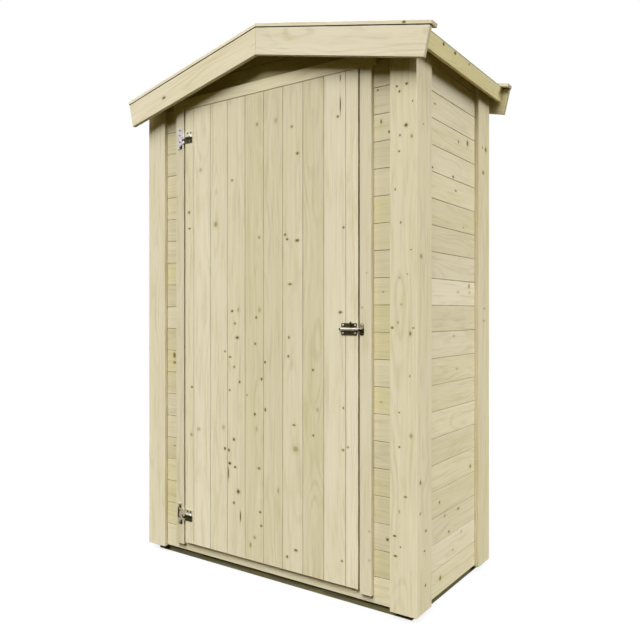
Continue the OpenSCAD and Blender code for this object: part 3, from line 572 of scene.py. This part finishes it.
def add_knot(bm, layers, board, axes, centre, knot, plane):
    """Lays a knot or a resin crack in a board's face: a fan of the board's own wood that darkens."""
    grain, tint, knot_layer, knotty = layers
    at_along, at_across, half_along, half_across, strength, room = knot
    rows = []
    for share, value in KNOT_RINGS:
        row = []
        for i in range(KNOT_SIDES if share else 1):
            turn = 2 * math.pi * i / KNOT_SIDES
            a = at_along + half_along * min(share, room[0]) * math.cos(turn)
            b = at_across + half_across * min(share, room[1]) * math.sin(turn)
            lift = LIFT * (0.4 + 0.6 * value)
            v = bm.verts.new(axes[0] * a + axes[1] * b + axes[2] * (plane + lift))
            v[grain] = grain_place(board, axes, centre, v.co)
            v[tint], v[knot_layer], v[knotty] = board["tint"], value * strength, 0.0
            row.append(v)
        rows.append(row)
    for inner, outer in zip(rows, rows[1:]):
        for i in range(KNOT_SIDES):
            j = (i + 1) % KNOT_SIDES
            ring = [inner[i % len(inner)], outer[i], outer[j]]
            if len(inner) > 1:
                ring.append(inner[j])
            face = bm.faces.new(ring)
            face.normal_update()
            if face.normal.dot(axes[2]) < 0:
                face.normal_flip()


def grain_place(board, axes, centre, place):
    """Where a point lies in the tree that its board was sawn from."""
    away = place - centre
    return Vector((away.dot(axes[0]) + board["start"], away.dot(axes[1]) + board["pith"][0],
                   away.dot(axes[2]) + board["pith"][1]))


# Where boards come from in their trees, in metres: along the trunk, and how far across and under the
# face the pith lies. Then the range of random tints.
TRUNK, PITH_ACROSS, PITH_UNDER = (0, 30), (-0.05, 0.05), (0.03, 0.13)
RANDOM_TINT = (0.05, 0.95)


def board_facts(node, index, given, shift):
    """A board's own grain and tint: random, apart from what is given for it."""
    rand = random.Random(f"{node} {index}")
    facts = {"start": rand.uniform(*TRUNK),
             "pith": (rand.uniform(*PITH_ACROSS), rand.uniform(*PITH_UNDER))}
    tint, light = rand.uniform(*RANDOM_TINT), rand.uniform(-1, 1)
    if given is not None:
        tint, light = given
    facts["tint"] = Vector((tint + shift[0], light + shift[1], rand.random()))
    return facts


def knots_on(node, axes, span, plane):
    """The listed knots that lie on a board, moved by a little where they would reach over its edge."""
    found = []
    for place, height, half_width, half_height, dark in KNOTS.get(node, ()):
        on_front = abs(axes[2].y) > 0.5
        if on_front:
            facing, point = Y, Vector((place, 0, height))
        else:
            facing, point = X, Vector((0, place, height))
        point += facing * (plane * 1000 - point.dot(axes[2])) / facing.dot(axes[2])
        half = Vector((half_width, half_width, half_height)) * KNOT_SCALE / 1000
        inside, knot = True, []
        for axis, (low, high) in zip(axes, span):
            size = abs(half.dot(axis))
            reach = size * KNOT_REACH
            wanted = (point / 1000).dot(axis)
            centre = min(max(wanted, low + reach), high - reach)
            inside = inside and low < wanted < high and abs(centre - wanted) < KNOT_SHIFT
            knot.append((centre, size, min(centre - low, high - centre) / size))
        if inside:
            (along, half_along, room_along), (across, half_across, room_across) = knot
            found.append((along, across, half_along, half_across, dark, (room_along, room_across)))
    return found


def dress_boards(node, kind, style="trim", tints=None, knotty=1.0):
    """Copies a node's boards into a piece with eased edges and a grain of its own for each board. kind
    says how the boards lie, style how their edges are eased, tints the tint and light of each, and
    knotty how many of the scattered knots they show."""
    bm = solid_copy(node)
    ease(bm, *EDGES[style])
    layers = (bm.verts.layers.float_vector.new("grain"), bm.verts.layers.float_vector.new("board"),
              bm.verts.layers.float.new("knot"), bm.verts.layers.float.new("knotty"))
    seam = bm.verts.layers.float.new("seam")
    cut = bm.faces.layers.float.new("cut")
    for index, group in enumerate(islands(bm)):
        low, high = box_of(group)
        centre = (low + high) / 2
        axes = directions(kind, low, high)
        given = tints[index] if tints else None
        board = board_facts(node, index, given, SHIFTS.get(node, (0, 0)))
        plane = max(v.co.dot(axes[2]) for v in group)
        face = [v.co for v in group if v.co.dot(axes[2]) > plane - FLAT]
        span = [(min(p.dot(a) for p in face), max(p.dot(a) for p in face)) for a in axes[:2]]
        mine = knots_on(node, axes, span, plane)
        for v in group:
            if mine and v.co.dot(axes[2]) > plane - FLAT:
                v.co -= axes[2] * SINK
            v[layers[0]] = grain_place(board, axes, centre, v.co)
            v[layers[1]] = board["tint"]
            v[layers[3]] = 0.0 if node in KNOTS or node in CLEAR else knotty
            below = plane - v.co.dot(axes[2])
            v[seam] = float(style == "tongued" and SEAM_DEPTH[0] < below < SEAM_DEPTH[1])
        for face in {f for v in group for f in v.link_faces}:
            face[cut] = float(abs(face.normal.dot(axes[0])) > END_TURN)
            # Long edges that stand in shade are painted dark like a sawn end
            if node in SHADED_EDGES and abs(face.normal.dot(axes[1])) > END_TURN:
                face[cut] = SHADED_EDGES[node]
        for knot in mine:
            add_knot(bm, layers, board, axes, centre, knot, plane - SINK)
    piece = show("wood_" + node, bm, materials[SLOT_OF[node]], node)
    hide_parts(node)


# Each door board from the hinges on: its tint from rosy to green, and its light
DOOR_TINTS = ((0.4, 0.5), (0.1, 0.9), (0.4, 0.5), (0.5, 0.0), (0.9, -0.8), (0.7, -0.8), (0.5, -0.2),
              (0.9, -0.9), (0.2, 0.6), (0.1, 0.9))

for end in ("front", "rear"):
    dress_boards(f"floor_rail_{end}", "rail", "frame")
    dress_boards(f"cap_battens_{end}", "barge")
    for side in ("left", "right"):
        dress_boards(f"corner_post_{end}_{side}", "upright", "frame")
        dress_boards(f"corner_board_{end}_{side}", "upright")
        dress_boards(f"side_board_{end}_{side}", "upright_side")
        dress_boards(f"barge_board_{end}_{side}", "barge")
for side in ("left", "right"):
    dress_boards(f"door_jamb_{side}", "upright", "frame")
    dress_boards(f"front_boards_{side}", "level", "tongued")
    dress_boards(f"{side}_wall_boards", "level_side", "tongued")
    dress_boards(f"door_casing_{side}", "upright")
    dress_boards(f"eave_purlin_{side}", "joist", "frame")
    dress_boards(f"roof_boards_{side}", "roof", "tongued")
    dress_boards(f"eave_board_{side}", "eave")
dress_boards("floor_joists", "joist", "frame")
dress_boards("floor_boards", "rail", "tongued")
dress_boards("lintel_rail", "level", "frame")
dress_boards("rear_stud", "upright", "frame")
dress_boards("front_sill_board", "level", "tongued")
dress_boards("front_gable_boards", "level", "tongued")
dress_boards("rear_wall_boards", "level", "tongued")
dress_boards("door_casing_top", "level")
dress_boards("ridge_purlin", "joist", "frame")
dress_boards("door_boards", "upright", "tongued", DOOR_TINTS, 0.0)
dress_boards("door_braces", "brace", "frame")
for place in ("top", "middle", "bottom"):
    dress_boards(f"door_ledge_{place}", "level", "frame")


# Metal and felt

# The lowest and highest corners of the door, the hinge leaves and the bolt's plate
DOOR_LOW, DOOR_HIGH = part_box("door_boards")
LEAF_BOXES = {place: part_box(f"hinge_leaf_{place}") for place in ("lower", "upper")}
LEAF_LOW, LEAF_HIGH = LEAF_BOXES["lower"]
LATCH_LOW, LATCH_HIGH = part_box("latch_plate")

# How thick the hinge leaves and the bolt's plate are
HINGE_T, PLATE_T = 0.002, 0.0015

# The rib of a hinge leaf: how far its ends lie from the door's edge and from the leaf's, its height over
# the leaf's middle, half its width, its depth and the share of its length that each rounded tip takes.
# Then its steps along, its steps round, how many of those from the top take the painted lit zinc while
# the rest take the painted shade, and how far its foot lies in the leaf.
RIB = {"x": (DOOR_LOW.x + 0.004, LEAF_HIGH.x - 0.0035),
       "rise": -0.0010, "half": 0.0090, "depth": 0.0036, "tip": 0.22}
RIB_STEPS, RIB_ARC, RIB_BRIGHT = 24, 12, 5
RIB_SUNK = 0.0001

# Plates: the lengths of the edges at their corners, and how their edges and corners are rounded
CORNER_EDGES, CORNER_SEGMENTS, EDGE_SEGMENTS = (0.0012, 0.0026), 6, 2
HINGE_EDGE, LATCH_EDGE, PIN_EDGE, FELT_EDGE = 0.0004, 0.0003, 0.0005, 0.0008
HINGE_CORNER, LATCH_CORNER, KEEPER_CORNER = 0.0025, 0.0030, 0.0065

# The grids that marks need, and how far a face has to lie over the bolt's plate to be the barrel, which
# is painted lit while the rest of the plate is painted dark as shade and reflection
MARK_GRID, BOLT_GRID = 0.0025, 0.004
BARREL_OVER = 0.0002


def round_corners(bm, radius):
    """Rounds the corners of plates that lie in the XZ plane."""
    shortest, longest = CORNER_EDGES
    chosen = [e for e in bm.edges if len(e.link_faces) == 2 and shortest < e.calc_length() < longest
              and abs((e.verts[0].co - e.verts[1].co).normalized().y) > 0.99
              and math.degrees(e.calc_face_angle_signed(0)) > 60]
    bmesh.ops.bevel(bm, geom=chosen, offset=radius, offset_type="OFFSET", segments=CORNER_SEGMENTS,
                    profile=0.5, affect="EDGES", clamp_overlap=True)


def cut_grid(bm, step):
    """Cuts faces on a grid along X and Z, so that marks smaller than a face can lie on it."""
    low, high = box_of(bm.verts)
    for axis in (X, Z):
        at = low.dot(axis) + step
        while at < high.dot(axis) - step / 2:
            bmesh.ops.bisect_plane(bm, geom=bm.verts[:] + bm.edges[:] + bm.faces[:],
                                   plane_co=axis * at, plane_no=axis)
            at += step


def mark_metal(bm, rise):
    """Gives a mesh its place in the coat, and at each point how bright the coat is there."""
    grain, rises = bm.verts.layers.float_vector.new("grain"), bm.verts.layers.float.new("rise")
    for v in bm.verts:
        v[grain], v[rises] = v.co, rise(v.co)


def all_bright(place):
    """The rise of a coat without parts painted dark."""
    return 1.0


def dress_plate(node, material, width, corner=0.0, raised=None, rise=all_bright, add=None, more=(),
                step=None):
    """Copies a node's solids into a piece with rounded edges. Faces beyond the depth raised take the
    first of the other materials in more. add draws more on the piece, and step is the grid that rise
    needs."""
    bm = solid_copy(node)
    if corner:
        round_corners(bm, corner)
    ease(bm, width, EDGE_SEGMENTS, least_turn=30)
    if step:
        cut_grid(bm, step)
    if raised:
        for face in bm.faces:
            face.material_index = int(face.calc_center_median().y < raised)
    if add:
        add(bm)
    mark_metal(bm, rise)
    name = "metal_" + node if node != "roofing_felt" else "felt_sheet"
    piece = show(name, bm, [material, *more], node)
    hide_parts(node)


def stamp_rib(bm, height):
    """The rib that is pressed out of a hinge leaf: a bar with a half round section and rounded tips, its
    upper faces painted lit and its lower faces painted shade.
    """
    rows = []
    for i in range(RIB_STEPS + 1):
        share = i / RIB_STEPS
        from_tip = min(share, 1 - share) / RIB["tip"]
        scale = math.sqrt(max(1 - max(1 - from_tip, 0) ** 2, 0)) if i not in (0, RIB_STEPS) else 0.0
        x = RIB["x"][0] + (RIB["x"][1] - RIB["x"][0]) * share
        row = []
        for j in range(RIB_ARC + 1):
            turn = math.pi * j / RIB_ARC
            y = DOOR_LOW.y - HINGE_T + RIB_SUNK - RIB["depth"] * scale * math.sin(turn)
            z = height + RIB["rise"] + RIB["half"] * scale * math.cos(turn)
            row.append(bm.verts.new((x, y, z)))
        rows.append(row)
    for a, b in zip(rows, rows[1:]):
        for j in range(RIB_ARC):
            face = bm.faces.new((a[j], a[j + 1], b[j + 1], b[j]))
            # The rib's upper faces are painted lit and its lower faces painted shade
            face.material_index = 1 if j < RIB_BRIGHT else 2
    bmesh.ops.remove_doubles(bm, verts=[v for row in rows for v in row], dist=WELD)


def lathe(bm, top, direction, profile, sides, material):
    """Turns a profile of (depth, radius) pairs about an axis that points outwards from its top."""
    side = direction.orthogonal().normalized()
    other = direction.cross(side)
    rows = []
    for depth, radius in profile:
        ring = []
        for i in range(sides if radius else 1):
            turn = 2 * math.pi * i / sides
            out = (side * math.cos(turn) + other * math.sin(turn)) * radius
            ring.append(bm.verts.new(top - direction * depth + out))
        rows.append(ring)
    for inner, outer in zip(rows, rows[1:]):
        for i in range(sides):
            j = (i + 1) % sides
            ring = [outer[i % len(outer)], inner[i % len(inner)]]
            ring += [inner[j]] if len(inner) > 1 else []
            ring += [outer[j]] if len(outer) > 1 else []
            face = bm.faces.new(ring)
            face.material_index = material
            face.normal_update()


def recess_shade_cross(bm, top, direction, reach, half, material):
    """A dark cross laid on the top of a screw's head: painted shade where a cross recess would be."""
    side = (X + Z).normalized()
    other = direction.cross(side)
    corners = ((reach, half), (half, half), (half, reach))
    points = []
    for quarter in range(4):
        for a, b in corners:
            for _ in range(quarter):
                a, b = -b, a
            points.append(bm.verts.new(top + side * a + other * b))
    face = bm.faces.new(points)
    face.material_index = material
    face.normal_update()
    if face.normal.dot(direction) < 0:
        face.normal_flip()


# A turned head's profile: depth as a share of its height, and radius as a share of its own. Before it
# comes a flat top, with the depths of its middle and its rim, and the rim's radius as a share.
HEAD_PROFILE = ((0.16, 0.82), (0.42, 0.95), (0.75, 1.0), (1.0, 0.985))
TOP_DEPTHS, TOP_RADIUS = (0.00002, 0.00003), 0.62

# A shank's point: where it begins as a share of the whole length, the tip's radius as a share of the
# shank's, and how far short of the whole length it ends
POINT_FROM, POINT_TIP, POINT_END = 0.8, 0.15, 0.0001
FASTENER_SIDES = 24

# A screw's cross recess, painted as a dark cross of shade: its reach and half its width, as shares of
# the head's radius, and its depth
RECESS_REACH, RECESS_HALF, RECESS_DEPTH = 0.52, 0.13, 0.00001


def dress_fasteners(node, name, direction_at, head, shank, recess, choose):
    """Turned screws or nails in place of a node's plain ones. head is a head's radius and height, shank
    is the shank's radius, and choose gives the material of one from its place."""
    source, bm = solid_copy(node), bmesh.new()
    dark, used = materials["zinc_painted_shade"], []
    for group in islands(source):
        low, high = box_of(group)
        direction = direction_at((low + high) / 2)
        outer = max(v.co.dot(direction) for v in group)
        rim = [v.co for v in group if v.co.dot(direction) > outer - FLAT]
        top = sum(rim, Vector()) / len(rim)
        length = outer - min(v.co.dot(direction) for v in group)
        radius, height = head
        for material in (choose(top), dark):
            if material not in used:
                used.append(material)
        profile = (
            (TOP_DEPTHS[0], 0.0), (TOP_DEPTHS[1], radius * TOP_RADIUS),
            *((height * down, radius * wide) for down, wide in HEAD_PROFILE),
            (height, shank), (length * POINT_FROM, shank),
            (length - POINT_END, shank * POINT_TIP), (length - POINT_END, 0.0))
        lathe(bm, top, direction, profile, FASTENER_SIDES, used.index(choose(top)))
        if recess:
            recess_shade_cross(bm, top - direction * RECESS_DEPTH, direction, radius * RECESS_REACH,
                         radius * RECESS_HALF, used.index(dark))
    source.free()
    # The recesses, which have 12 corners, already face outwards
    bmesh.ops.recalc_face_normals(bm, faces=[f for f in bm.faces if len(f.verts) < 12])
    mark_metal(bm, all_bright)
    piece = show(name, bm, used, node, smooth_turn=35)
    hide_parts(node)


# Painted shade on the casing plates, where the photo shows dark marks: centre and half size along X and
# Z
PLATE_SHADE_MARKS = {
    "upper": ((-0.4300, 1.6640, 0.0070, 0.0120), (-0.4205, 1.6940, 0.0060, 0.0050)),
    "lower": ((-0.4465, 0.1820, 0.0055, 0.0240), (-0.4360, 0.2090, 0.0060, 0.0090),
              (-0.4300, 0.1450, 0.0070, 0.0110), (-0.4205, 0.1720, 0.0060, 0.0070)),
}

# The middle heights of the hinges and of the bolt's plate, and half a hinge leaf's height
HINGE_Z = {place: (low.z + high.z) / 2 for place, (low, high) in LEAF_BOXES.items()}
LATCH_Z = (LATCH_LOW.z + LATCH_HIGH.z) / 2
HINGE_HALF = (LEAF_HIGH.z - LEAF_LOW.z) / 2

# How far over the bolt's plate's middle the keeper turns bright, where along X the bolt turns bright,
# the length over which both turn, and how near that middle the screws of plate and keeper lie. The
# bright parts are painted highlight and the rest painted shade.
KEEPER_BRIGHT, BOLT_BRIGHT, BRIGHTENING, LATCH_REACH = 0.001, 0.395, 0.01, 0.05

# Screws and felt nails: radius and height of the head, and radius of the shank
SCREW, CLOUT_NAIL = ((0.0035, 0.0016), 0.00175), ((0.004, 0.001), 0.0012)


def shaded_near(marks):
    """How far a place is from the nearest of the marks, as a share of that mark's size. Within a mark
    the coat is painted dark as shade.
    """
    def rise(place):
        near = min(math.hypot((place.x - x) / w, (place.z - z) / h) - 1 for x, z, w, h in marks)
        return min(1.0, near)
    return rise


# The two casing plates take coats of different colour, as painted reflection
PLATE_COAT = {"upper": materials["zinc_hinge"], "lower": materials["zinc_leaf"]}

for place, height in HINGE_Z.items():
    dress_plate(f"hinge_plate_{place}", PLATE_COAT[place], HINGE_EDGE, HINGE_CORNER,
                rise=shaded_near(PLATE_SHADE_MARKS[place]), step=MARK_GRID)
    # A leaf's coat is painted bright above its middle and dark below it, as painted reflection and shade
    dress_plate(f"hinge_leaf_{place}", materials["zinc_leaf"], HINGE_EDGE, HINGE_CORNER,
                rise=lambda p, h=height: (p.z - h) / HINGE_HALF,
                add=lambda bm, h=height: stamp_rib(bm, h),
                more=(materials["zinc_painted_lit"], materials["zinc_painted_shade"]))
dress_plate("hinge_pins", materials["zinc_painted_lit"], PIN_EDGE)
# The bolt's plate is painted dark as shade and dark reflection, and its barrel painted lit
dress_plate("latch_plate", materials["zinc_painted_shade"], LATCH_EDGE, LATCH_CORNER,
            raised=DOOR_LOW.y - PLATE_T - BARREL_OVER, more=(materials["zinc_painted_lit"],))
# The keeper is painted lit above the bolt's middle and painted shade below it
dress_plate("latch_keeper", materials["zinc_keeper"], LATCH_EDGE, KEEPER_CORNER,
            rise=lambda p: (p.z - LATCH_Z - KEEPER_BRIGHT) / BRIGHTENING, step=MARK_GRID)
# The bolt is painted lit at its tip and painted shade behind it
dress_plate("latch_bolt", materials["zinc_bolt"], HINGE_EDGE,
            rise=lambda p: (p.x - BOLT_BRIGHT) / BRIGHTENING, step=BOLT_GRID)
dress_plate("roofing_felt", materials["roofing_felt"], FELT_EDGE)


def screw_coat(place):
    """Screws painted lit in the bolt's plate and the top of its keeper. The photo shows the others dark:
    they are painted shade, dark on the door and the keeper's foot, and dimmer on the casing.
    """
    near_latch = abs(place.z - LATCH_Z) < LATCH_REACH
    if near_latch and (place.x < DOOR_HIGH.x or place.z > LATCH_Z):
        return materials["zinc_painted_lit"]
    dark = near_latch or place.x > DOOR_LOW.x
    return materials["zinc_painted_shade"] if dark else materials["zinc_half_shade"]


for node in ("casing_screws", "door_screws"):
    dress_fasteners(node, "turned_" + node, lambda centre: -Y, *SCREW, True, screw_coat)
dress_fasteners("felt_nails", "clout_nails", lambda centre: out_of_slope(math.copysign(1, centre.x)),
                *CLOUT_NAIL, False, lambda place: materials["nail_steel"])


# Stage and light

def light_rays(tree, mirrored):
    """1 for rays that see the backdrop itself, and 0 for those that light the object. mirrored says
    whether a reflection counts as seeing."""
    path = tree.nodes.new("ShaderNodeLightPath").outputs
    seen = [path["Is Camera Ray"], path["Is Transmission Ray"]] + [path["Is Glossy Ray"]] * mirrored
    total = seen[0]
    for other in seen[1:]:
        both = tree.nodes.new("ShaderNodeMath")
        both.operation = "MAXIMUM"
        tree.links.new(total, both.inputs[0])
        tree.links.new(other, both.inputs[1])
        total = both.outputs[0]
    return total


# The fill is the low warm light from all round. The floor has one colour for the light that comes back
# from it to the object, and for its reflection in metal. It has another that the camera sees, and that
# glows by the share given.
WHITE = (1.0, 1.0, 1.0, 1.0)
FILL, AMBIENT = (1.0, 0.78, 0.12, 1.0), 0.05
FLOOR_LIGHT, FLOOR_SEEN = (0.042, 0.032, 0.006, 1.0), (0.9, 0.9, 0.9, 1.0)
FLOOR_GLOW = 0.82
FLOOR_SIZE, FLOOR_SIDES = 9.0, 96

# Each sun: azimuth and elevation in degrees, strength, angle that it takes in the sky, and colour.
# Azimuth is measured from the front towards the right side.
SUNS = {
    "front": (4, 49.5, 3.92, 40, (1.0, 1.0, 0.985)),
    "side": (92, 43.5, 3.03, 36, (1.0, 1.0, 0.985)),
    "back": (225, 14, 2.6, 50, (1.0, 1.0, 1.0)),
}
SUN_AWAY = 6

world = bpy.data.worlds.new("studio")
bpy.context.scene.world = world
world.use_nodes = True
wt = world.node_tree
wt.nodes.clear()
fill = wt.nodes.new("ShaderNodeBackground")
fill.inputs[0].default_value = FILL
fill.inputs[1].default_value = AMBIENT
backdrop = wt.nodes.new("ShaderNodeBackground")
backdrop.inputs[0].default_value = WHITE
backdrop.inputs[1].default_value = 1.0
either = wt.nodes.new("ShaderNodeMixShader")
wt.links.new(light_rays(wt, True), either.inputs[0])
wt.links.new(fill.outputs[0], either.inputs[1])
wt.links.new(backdrop.outputs[0], either.inputs[2])
wt.links.new(either.outputs[0], wt.nodes.new("ShaderNodeOutputWorld").inputs[0])

t = Tree("studio_floor")
rays = light_rays(t.tree, False)
paper = t.node("ShaderNodeBsdfDiffuse", {"Color": t.mix(rays, FLOOR_LIGHT, FLOOR_SEEN)})
glow = t.node("ShaderNodeEmission", {"Color": WHITE, "Strength": 1.0})
both = t.node("ShaderNodeMixShader", {0: t.math("MULTIPLY", rays, FLOOR_GLOW),
                                      1: paper.outputs[0], 2: glow.outputs[0]})
t.node("ShaderNodeOutputMaterial", {"Surface": both.outputs[0]})
bm = bmesh.new()
bmesh.ops.create_circle(bm, cap_ends=True, segments=FLOOR_SIDES, radius=FLOOR_SIZE)
mesh = bpy.data.meshes.new("floor")
bm.to_mesh(mesh)
bm.free()
mesh.materials.append(t.material)
floor = bpy.data.objects.new("floor", mesh)
bpy.context.scene.collection.objects.link(floor)


def sun(name, azimuth, elevation, strength, softness, colour):
    """A lamp that lights as if from far away, with a soft edge to its shadows."""
    data = bpy.data.lights.new(name, "SUN")
    data.energy, data.angle, data.color = strength, math.radians(softness), colour
    lamp = bpy.data.objects.new(name, data)
    a, e = math.radians(azimuth), math.radians(elevation)
    toward = Vector((math.sin(a) * math.cos(e), -math.cos(a) * math.cos(e), math.sin(e)))
    lamp.rotation_mode = "QUATERNION"
    lamp.rotation_quaternion = toward.to_track_quat("Z", "Y")
    lamp.location = toward * SUN_AWAY
    bpy.context.scene.collection.objects.link(lamp)


for name, facts in SUNS.items():
    sun(name, *facts)

bpy.context.view_layer.update()
